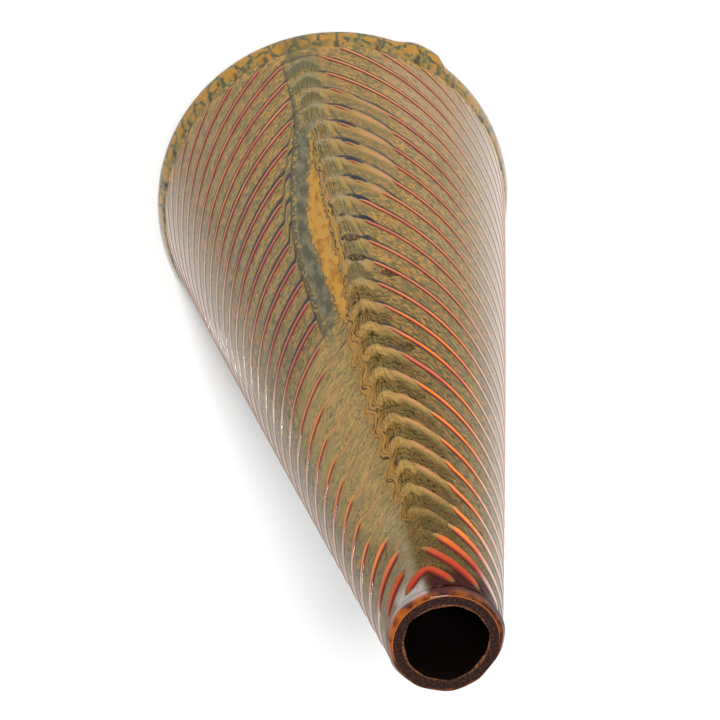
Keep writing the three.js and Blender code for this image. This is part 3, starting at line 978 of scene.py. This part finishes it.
bpy.ops.mesh.solidify(thickness=seam_thickness)
seam = end_shape(seam, "combed_seam_crest", 80)
seam_glass = Finish("seam glass", 0.3, marbled_refraction)
seam_colour, seam_fine = marble(seam_glass)
seam_glass.paint(seam, base_color=seam_colour, coat_weight=side_gloss(seam_glass),
                 normal=seam_glass.bump(seam_fine, 0.00006))
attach(seam, "root")
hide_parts("combed_seam")


# Foot band
# A band of the same marbled glass that the comb didn't reach, with large cells, folded under the
# edge of the body into the flat ring that the vase rests on.
foot_low, foot_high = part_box("foot_band")
foot_round = 240
band_round = 0.0015
band_edge = 0.0009
band_top = 0.0005
fold_width = 0.0092
foot_ledge = 0.0026
band_bulge = 0.0022


def turn_ring(name, profile, round_points, smooth_angle):
    """A closed ring of glass: one circle drawn along a profile of radii and heights, back to its start."""
    radius, z = profile[0]
    piece = begin_shape(bpy.ops.mesh.primitive_circle_add, vertices=round_points, radius=radius,
                        location=(0, 0, z))
    bpy.ops.mesh.select_mode(type="EDGE")
    bpy.ops.mesh.select_all(action="SELECT")
    for (old_radius, old_z), (radius, z) in zip(profile, profile[1:] + profile[:1]):
        bpy.ops.mesh.extrude_edges_move(TRANSFORM_OT_translate={"value": (0, 0, z - old_z)})
        widen = radius / old_radius
        bpy.ops.transform.resize(value=(widen, widen, 1), center_override=(0, 0, 0))
    face_outwards()
    return end_shape(piece, name, smooth_angle)


def corner(centre_radius, centre_z, size, start, end, steps):
    """Points of a rounded corner of a profile, between two angles in degrees."""
    angles = np.radians(np.linspace(start, end, steps))
    return [(centre_radius + size * math.cos(a), centre_z + size * math.sin(a)) for a in angles]


band_radius = foot_high.x
band_z = foot_high.z
inner_radius = foot_radius - fold_width
flare = []
for z in np.linspace(band_round + band_edge, band_z - 0.0006, 8):
    narrow = cone_radius(z) + skin_lift + band_top
    flare.append((narrow + (band_radius - narrow) * float(rise(band_z, band_round + band_edge, z)), z))
band_profile = [(inner_radius, foot_low.z)]
band_profile += corner(band_radius - band_round, band_round, band_round, -90, 0, 8) + flare
band_profile += [(cone_radius(band_z) + skin_lift, band_z), (body_radius(band_z) + layer_gap, band_z),
                 (body_radius(foot_ledge) + layer_gap / 2, foot_ledge + 0.004), (inner_radius, foot_ledge)]
band = turn_ring("foot_band_marbled", band_profile, foot_round, 50)
places = points_of(band)
angle = np.degrees(np.arctan2(-places[:, 0], -places[:, 1]))
radius = np.hypot(places[:, 0], places[:, 1])
outside = rise(body_radius(0) - 0.001, band_radius - band_round, radius)
bulge = band_bulge * rise(33, 41, angle) * rise(53, 47, angle) * rise(0.012, 0.004, places[:, 2])
places[:, :2] *= (1 + outside * bulge / radius)[:, None]
move_points(band, places)
set_attribute(band, "laid", np.interp(angle, columns, foot_turns) - angle / 360)

band_glass = Finish("marbled band glass", 0.3, marbled_refraction)
around_band, up_band = band_glass.to_right(), band_glass.along("Z")
cell_wall = band_glass.cell_edge(
    160, band_glass.bent(band_glass.stretched(0.8), 130, 0.009, band_glass.place))
streaked = band_glass.noise(700, band_glass.stretched(0.25)).rise(0.42, 0.6)
band_phase = (band_glass.attribute("laid") + around_band / 360 + 0.5).fraction() - 0.5
ridge_tip = band_phase.within(-0.02, 0.1, 0.05) * around_band.size().rise(90, 60)
ridge_tip = ridge_tip * up_band.rise(0.007, 0.0092)
torn = (up_band + (band_glass.noise(140, detail=2) - 0.5) * 0.008).rise(0.0075, 0.0095)
band_smoke = around_band.within(-4, 5, 2.5) * (0.45 + 0.55 * streaked)
band_colour = band_glass.layers(
    (0.28, 0.155, 0.03), (band_glass.noise(260, detail=2), (0.4, 0.2, 0.034)),
    (band_glass.noise(1500, detail=2).rise(0.42, 0.6) * 0.35, umber),
    (cell_wall.rise(0.16, 0.045), band_glass.blend(streaked, (0.062, 0.066, 0.035), (0.17, 0.135, 0.055))),
    (torn * 0.6, band_glass.blend(streaked, (0.085, 0.082, 0.042), (0.24, 0.165, 0.065))),
    (ridge_tip * 0.7, (0.02, 0.022, 0.02)), (band_smoke * 0.85, (0.08, 0.076, 0.038)))
band_glass.paint(band, base_color=band_colour, coat_weight=side_gloss(band_glass),
                 normal=band_glass.bump(cell_wall, 0.0001))
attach(band, "root")
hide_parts("foot_band")


# Lip wrap
# A trail of amber glass melted round the outer edge of the ground lip.
wrap_low, wrap_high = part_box("lip_wrap")
wrap_round = 0.0007
wrap_radius = wrap_high.x
wrap_base = cone_radius(wrap_low.z) + skin_lift
wrap_inside = body_radius(height) + 0.00003
wrap_profile = [(wrap_inside, height)]
wrap_profile += corner(wrap_radius - wrap_round, height - wrap_round, wrap_round, 90, -20, 7)
wrap_profile += [(wrap_base + 0.0004, height - 0.0019), (wrap_base + 0.0001, wrap_low.z + 0.0005),
                 (wrap_base - 0.0002, wrap_low.z), (body_radius(wrap_low.z) + 0.0001, wrap_low.z)]
wrap = turn_ring("lip_wrap_amber", wrap_profile, body_round, 60)
waver_lip(wrap, lip_waver, waver_reach)
amber_glass = Finish("amber glass", roughness=0.12, refraction=1.22)
wrap_x, wrap_y, wrap_z = (amber_glass.along(axis) for axis in "XYZ")
around_wrap, from_axis = amber_glass.to_right(), axis_distance(amber_glass)
mottle = amber_glass.noise(260)
to_front = wrap_y.rise(0.006, -0.004)
orange_part = wrap_x.rise(-0.009, 0.006) * to_front * mottle.rise(0.3, 0.55)
beside_wrap = amber_glass.layers(
    (0.12, 0.06, 0.045), (around_wrap.rise(-70, -35), (0.3, 0.27, 0.26)),
    (around_wrap.rise(-9, -2) * around_wrap.rise(176, 115), (0.03, 0.007, 0.005)))
on_top = from_axis.rise(wrap_radius - 0.0006, wrap_radius - 0.0009)
on_top = on_top * wrap_z.rise(height - 0.0008, height - 0.0003)
bright_line = from_axis.within(wrap_radius - 0.0009, wrap_radius - 0.00075, 0.0001) * to_front
bright_line = bright_line * wrap_z.rise(height - 0.0006, height - 0.0003)
amber_colour = amber_glass.layers(
    (0.04, 0.008, 0.003), (mottle.rise(0.45, 0.65), (0.15, 0.038, 0.006)),
    (orange_part * 0.7, (0.38, 0.085, 0.008)),
    (wrap_z.rise(height - 0.001, height - 0.0018) * 0.85, beside_wrap),
    (on_top, ground_face(amber_glass)[1]), (bright_line * 0.8, (0.5, 0.15, 0.03)))
amber_glass.paint(wrap, base_color=amber_colour, roughness=0.1 + 0.4 * on_top)
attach(wrap, "root")
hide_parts("lip_wrap")


# Floor and light
# A plain pale floor, a white surround, and soft lights whose shadow falls to the left of the picture.
floor_size = 6.0
surround = bpy.data.worlds.new("surround")
surround.use_nodes = True
surround.node_tree.nodes["Background"].inputs["Color"].default_value = (1, 1, 1, 1)
surround.node_tree.nodes["Background"].inputs["Strength"].default_value = 0.8
bpy.context.scene.world = surround
bpy.context.scene.view_settings.view_transform = "Standard"

floor = begin_shape(bpy.ops.mesh.primitive_plane_add, size=floor_size, location=(0, 0, -0.00005))
floor = end_shape(floor, "floor")
floor_finish = Finish("pale floor", roughness=0.9)
floor_finish.paint(floor, base_color=(0.77, 0.77, 0.77))


def soft_light(name, place, size, power):
    """A square light that faces the vase."""
    lamp = bpy.data.lights.new(name, "AREA")
    lamp.size = size
    lamp.energy = power
    light = bpy.data.objects.new(name, lamp)
    bpy.context.scene.collection.objects.link(light)
    light.location = place
    light.rotation_euler = (Vector((0, 0, 0.12)) - light.location).to_track_quat("-Z", "Y").to_euler()


soft_light("key_light", Vector((-0.2, -1.2, 2.3)), 0.3, 52)
soft_light("side_light", Vector((-1.8, -0.6, 1.0)), 1.6, 12)
